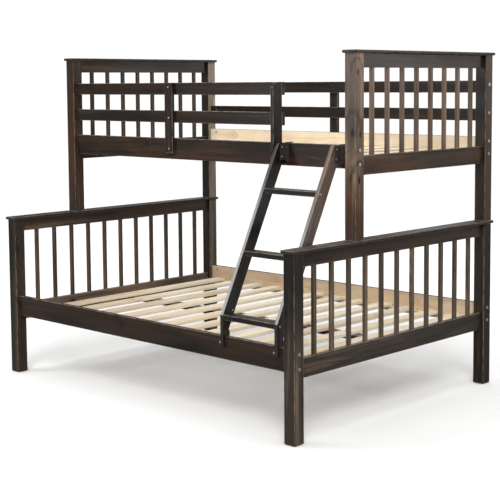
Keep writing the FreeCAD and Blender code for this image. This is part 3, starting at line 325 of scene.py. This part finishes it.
def wood_colour(g, fields, look, node, finished=True):
    """The board's colour; its own tone, with its painted light and shade, applies only to the finish that the
    table was written for.
    """
    tone_and_light, red = TONE_AND_PAINTED_LIGHT.get(node, PLAIN_TONE) if finished else PLAIN_TONE
    warmth = g.step(fields["cloud"], 0.34, 0.62, min(1.0, red * 1.5), red * 0.5)
    base = g.mix(warmth, look["body"], look["warm"])
    base = g.mix(g.step(fields["streak"], 0.52, 0.74, 0.0, look["streak"]), base, look["pale"])
    base = g.mix(g.step(fields["streak"], 0.26, 0.46, 0.75, 0.0), base, look["deep"])
    base = g.mix(g.step(fields["cloud"], 0.50, 0.74, 0.0, 0.65), base, look["deep"])
    base = g.mix(g.math("MULTIPLY", fields["ring"], look["ring"]), base, look["deep"])
    board = g.math("ADD", 1.0 - look["vary"] / 2, g.math("MULTIPLY", fields["board"], look["vary"]))
    # The board's lightness, which carries painted light and shade as well as its tone.
    board = g.math("MULTIPLY", board, tone_and_light)
    # Painted light and shade across the lower deck, by place in the bed.
    if node == "lower_slats":
        right, rear, _ = g.split(g.coords())
        front_light = g.step(right, -0.9, 0.7, *SLAT_PAINTED_LIGHT_FRONT)
        back_light = g.step(right, -0.9, 0.7, *SLAT_PAINTED_LIGHT_BACK)
        shift = g.math("MULTIPLY", g.math("SUBTRACT", back_light, front_light), g.step(rear, -0.5, 0.5))
        board = g.math("MULTIPLY", board, g.math("ADD", front_light, shift))
    # Painted light, sheen and shade on the face towards +X.
    if node in PAINTED_SIDE_LIGHT:
        facing = g.split(g.coords("Normal"))[0]
        board = g.math("MULTIPLY", board, g.step(facing, 0.80, 0.97, 1.0, PAINTED_SIDE_LIGHT[node]))
    # Painted shade towards one end of the board and painted light towards the other.
    if node in PAINTED_SHADE_ALONG_HEIGHT:
        deep, light, share = PAINTED_SHADE_ALONG_HEIGHT[node]
        along = g.math("ADD", fields["level"], g.math("MULTIPLY", fields["streak"], 0.12))
        if deep < light:
            board = g.math("MULTIPLY", board, g.step(along, deep, light, share, 1.0))
        else:
            board = g.math("MULTIPLY", board, g.step(along, light, deep, 1.0, share))
    grey = g.step(fields["fibre"], 0.25, 0.75, 1.0 - look["fibre"], 1.0 + look["fibre"] * 0.5)
    shade = g.math("MULTIPLY", board, grey)
    base = g.mix(1.0, base, g.join(shade, shade, shade), "MULTIPLY")
    base = g.vector("MINIMUM", base, PALEST)
    base = g.mix(g.math("MULTIPLY", fields["swirl"], 0.30), base, look["deep"])
    if node in KNOTS:
        base = g.mix(g.math("MULTIPLY", fields["halo"], 0.55), base, look["deep"])
    # Arrises paler with wear and a painted highlight.
    base = g.mix(g.math("MULTIPLY", fields["edge"], look["edge"]), base, look["lit_wear_colour"])
    return g.mix(g.step(fields["knot"], 0.05, 0.50), base, look["knot"])


def finish_wood(g, fields, colour, look, rough=None):
    g.set("Base Color", colour)
    from_fibre = g.math("MULTIPLY", fields["fibre"], 0.14)
    texture = g.math("ADD", from_fibre, g.math("MULTIPLY", fields["cloud"], 0.16))
    base = look["rough"] - 0.15 if rough is None else rough
    g.set("Roughness", g.math("ADD", texture, base))
    g.set("Specular IOR Level", look["level"])
    g.set("Coat Weight", look["coat"])
    g.set("Coat Roughness", look["coat_rough"])
    g.set("IOR", 1.5)
    height = g.math("ADD", g.math("MULTIPLY", fields["ring"], 0.5), g.math("MULTIPLY", fields["fibre"], 0.6))
    height = g.math("SUBTRACT", height, g.math("MULTIPLY", fields["knot"], 0.5))
    g.bump(height, look["bump"], 0.0006)


def stained(name, node, axis, cell=None, tilt=0.0, look=ESPRESSO):
    """Espresso stain all over."""
    g = Graph(name)
    fields = wood_fields(g, node, axis, cell, tilt)
    finish_wood(g, fields, wood_colour(g, fields, look, node), look)
    return g.material


def bare(name, node, axis, cell=None):
    """Natural pine all over."""
    g = Graph(name)
    fields = wood_fields(g, node, axis, cell)
    finish_wood(g, fields, wood_colour(g, fields, PINE, node), PINE)
    return g.material


def half_stained(name, node, axis, inward):
    """Stained, with the face towards the mattress left natural."""
    g = Graph(name)
    fields = wood_fields(g, node, axis)
    facing = g.math("MULTIPLY", g.split(g.coords("Normal"))[1], inward)
    inner = g.step(facing, 0.80, 0.97)
    back = node.endswith("back")
    stain = wood_colour(g, fields, ESPRESSO, node, not back)
    pine = wood_colour(g, fields, PINE, node, back)
    finish_wood(g, fields, g.mix(inner, stain, pine), ESPRESSO, 0.24)
    return g.material


# ---------------------------------------------------------------- metal and plastic

def zinc():
    g = Graph("bright_zinc")
    at = g.coords()
    grain = g.noise(at, 900.0, 3.0, 0.6)
    cloud = g.noise(at, 160.0, 2.0, 0.5)
    g.set("Base Color", g.mix(g.step(cloud, 0.35, 0.65), (0.66, 0.66, 0.64), (0.50, 0.51, 0.52)))
    g.set("Metallic", 1.0)
    g.set("Roughness", g.math("ADD", g.math("MULTIPLY", grain, 0.16), 0.22))
    g.bump(grain, 0.10, 0.0002)
    return g.material


def dark_steel():
    g = Graph("dark_strap_steel")
    at = g.coords()
    grain = g.noise(at, 700.0, 3.0, 0.6)
    wear = g.step(g.noise(at, 90.0, 4.0, 0.65), 0.60, 0.74)
    g.set("Base Color", g.mix(wear, (0.062, 0.052, 0.045), (0.22, 0.20, 0.18)))
    g.set("Metallic", 0.35)
    g.set("Roughness", g.math("ADD", g.math("MULTIPLY", grain, 0.20), 0.30))
    g.bump(grain, 0.15, 0.0002)
    return g.material


def nylon():
    g = Graph("glide_nylon")
    grain = g.noise(g.coords(), 1200.0, 2.0, 0.5)
    g.set("Base Color", g.mix(grain, (0.035, 0.030, 0.028), (0.060, 0.054, 0.050)))
    g.set("Roughness", 0.55)
    g.bump(grain, 0.2, 0.0002)
    return g.material


ZINC, STRAP, NYLON = zinc(), dark_steel(), nylon()


def spindle_cell(node, count):
    low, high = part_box(node)
    pitch = (high.y - low.y - SPINDLE_WIDTH) / (count - 1)
    first = low.y + SPINDLE_WIDTH / 2 - (low.y + high.y) / 2
    return (1, pitch, first, SPINDLE_WIDTH / 2)


def slat_cell(node, count):
    low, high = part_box(node)
    pitch = (high.x - low.x - SLAT_WIDTH) / (count - 1)
    first = low.x + SLAT_WIDTH / 2 - (low.x + high.x) / 2
    return (0, pitch, first, SLAT_WIDTH / 2)


def material_for(node):
    if "bolts" in node or "nuts" in node or "screws" in node or node == "stacking_pins":
        return ZINC
    if node in ("ladder_hooks", "ladder_foot_saddles"):
        return STRAP
    if node == "floor_glides":
        return NYLON
    name = "wood_" + node
    if node.endswith("_slats"):
        return bare(name, node, "Y", slat_cell(node, 12))
    if "_cleat_" in node:
        return bare(name, node, "X")
    if "_side_rail_" in node:
        return half_stained(name, node, "X", 1.0 if node.endswith("front") else -1.0)
    if "_spindles_" in node:
        return stained(name, node, "Z", spindle_cell(node, 11 if node.startswith("lower") else 8))
    if node.startswith("ladder_stile"):
        return stained(name, node, "Z", tilt=math.atan(LADDER_LEAN), look=LACQUERED)
    if "_post_" in node or node.startswith("guard_board") or node == "guard_grab_board":
        return stained(name, node, "Z")
    if "_cap_" in node or "_bottom_rail_" in node or "_top_rail_" in node:
        return stained(name, node, "Y")
    if node == "beam_seats":
        return stained(name, node, "Y")
    return stained(name, node, "X")


for node_name in sorted(NODES):
    piece = NODES[node_name]
    material = material_for(node_name)
    if not piece.material_slots:
        piece.data.materials.append(material)
    for slot in piece.material_slots:
        slot.material = material

# ---------------------------------------------------------------- floor, light and camera

STAGE = bpy.data.collections.new("stage")
bpy.context.scene.collection.children.link(STAGE)


def seen_directly(tree):
    return tree.nodes.new("ShaderNodeLightPath").outputs["Is Camera Ray"]


def add_floor():
    """A pale studio floor; it shows near white, and throws less light back than it shows."""
    mesh = bpy.data.meshes.new("floor")
    reach = 14.0
    corners = [(-reach, -reach, 0.0), (reach, -reach, 0.0), (reach, reach, 0.0), (-reach, reach, 0.0)]
    mesh.from_pydata(corners, [], [(0, 1, 2, 3)])
    floor = bpy.data.objects.new("floor", mesh)
    g = Graph("pale_floor")
    speck = g.noise(g.coords(), 260.0, 3.0, 0.6)
    shown = g.mix(speck, (0.722, 0.722, 0.717), (0.738, 0.738, 0.733))
    g.set("Base Color", g.mix(seen_directly(g.tree), (0.20, 0.20, 0.195), shown))
    g.set("Roughness", 0.8)
    g.set("Specular IOR Level", 0.1)
    mesh.materials.append(g.material)
    STAGE.objects.link(floor)


def add_light(name, place, aim, wide, high, power):
    data = bpy.data.lights.new(name, "AREA")
    data.shape = "RECTANGLE"
    data.size = wide
    data.size_y = high
    data.energy = power
    lamp = bpy.data.objects.new(name, data)
    lamp.location = place
    lamp.rotation_mode = "QUATERNION"
    lamp.rotation_quaternion = (Vector(aim) - Vector(place)).to_track_quat("-Z", "Y")
    STAGE.objects.link(lamp)


def add_sun(name, aim, power, spread):
    data = bpy.data.lights.new(name, "SUN")
    data.energy = power
    data.angle = math.radians(spread)
    lamp = bpy.data.objects.new(name, data)
    lamp.location = (0.0, 0.0, 6.0)
    lamp.rotation_mode = "QUATERNION"
    lamp.rotation_quaternion = Vector(aim).to_track_quat("-Z", "Y")
    STAGE.objects.link(lamp)


# Strength of the world: as the camera sees it, then as a source at the horizon and overhead.
BACKDROP, HORIZON, ZENITH = 1.05, 0.09, 0.75


def add_world():
    """A white studio: white to look at, dimmer as a source so that dark timber keeps its contrast."""
    world = bpy.data.worlds.new("studio")
    world.use_nodes = True
    tree = world.node_tree
    background = tree.nodes["Background"]
    background.inputs["Color"].default_value = (1.0, 1.0, 1.0, 1.0)
    split = tree.nodes.new("ShaderNodeSeparateXYZ")
    tree.links.new(tree.nodes.new("ShaderNodeTexCoord").outputs["Generated"], split.inputs[0])
    height = tree.nodes.new("ShaderNodeMapRange")
    height.inputs["From Min"].default_value = 0.15
    height.inputs["From Max"].default_value = 0.75
    height.inputs["To Min"].default_value = HORIZON
    height.inputs["To Max"].default_value = ZENITH
    tree.links.new(split.outputs["Z"], height.inputs["Value"])
    strength = tree.nodes.new("ShaderNodeMapRange")
    strength.inputs["To Max"].default_value = BACKDROP
    tree.links.new(seen_directly(tree), strength.inputs["Value"])
    tree.links.new(height.outputs["Result"], strength.inputs["To Min"])
    tree.links.new(strength.outputs["Result"], background.inputs["Strength"])
    bpy.context.scene.world = world
    bpy.context.scene.view_settings.view_transform = "Standard"


# Metres, then turn, pitch and roll in degrees.
CAMERA_PLACE = (4.2742, -4.4121, 1.5159)
CAMERA_ANGLES = (43.76, 5.064, -0.416)


def add_camera():
    """At standing eye height off the ladder end's front corner, looking slightly down."""
    turn, pitch, roll = (math.radians(angle) for angle in CAMERA_ANGLES)
    forward = Vector((-math.sin(turn) * math.cos(pitch), math.cos(turn) * math.cos(pitch), -math.sin(pitch)))
    level = Vector((math.cos(turn), math.sin(turn), 0.0))
    above = level.cross(forward)
    right = level * math.cos(roll) + above * math.sin(roll)
    up = above * math.cos(roll) - level * math.sin(roll)
    data = bpy.data.cameras.new("camera")
    data.sensor_width = 36.0
    data.lens = 86.7
    data.shift_y = -0.12
    data.dof.use_dof = False
    data.clip_end = 60.0
    camera = bpy.data.objects.new("camera", data)
    basis = Matrix((right, up, -forward)).transposed().to_4x4()
    camera.matrix_world = Matrix.Translation(Vector(CAMERA_PLACE)) @ basis
    STAGE.objects.link(camera)
    bpy.context.scene.camera = camera


add_floor()
add_world()
# Direction, strength and spread in degrees.
add_sun("key", (-0.66, 0.74, -0.78), 2.1, 25.0)
add_sun("overhead", (0.05, 0.10, -1.0), 1.4, 70.0)
# Place, aim, width, height and power in watts.
add_light("right", (6.4, 0.6, 1.9), (0.0, 0.0, 0.6), 2.4, 2.0, 60.0)
add_light("far_right", (8.0, 8.8, 2.0), (0.0, 0.0, 1.2), 1.6, 0.9, 60.0)
add_light("back_left", (-3.6, 4.8, 3.4), (0.3, 0.0, 0.5), 3.0, 1.5, 35.0)
add_light("front_left", (-2.8, -5.0, 1.5), (1.0, -0.3, 1.4), 0.7, 0.7, 22.0)
add_light("left_high", (-3.7, -4.15, 3.5), (0.6, -1.0, 0.8), 2.0, 1.7, 90.0)
add_camera()
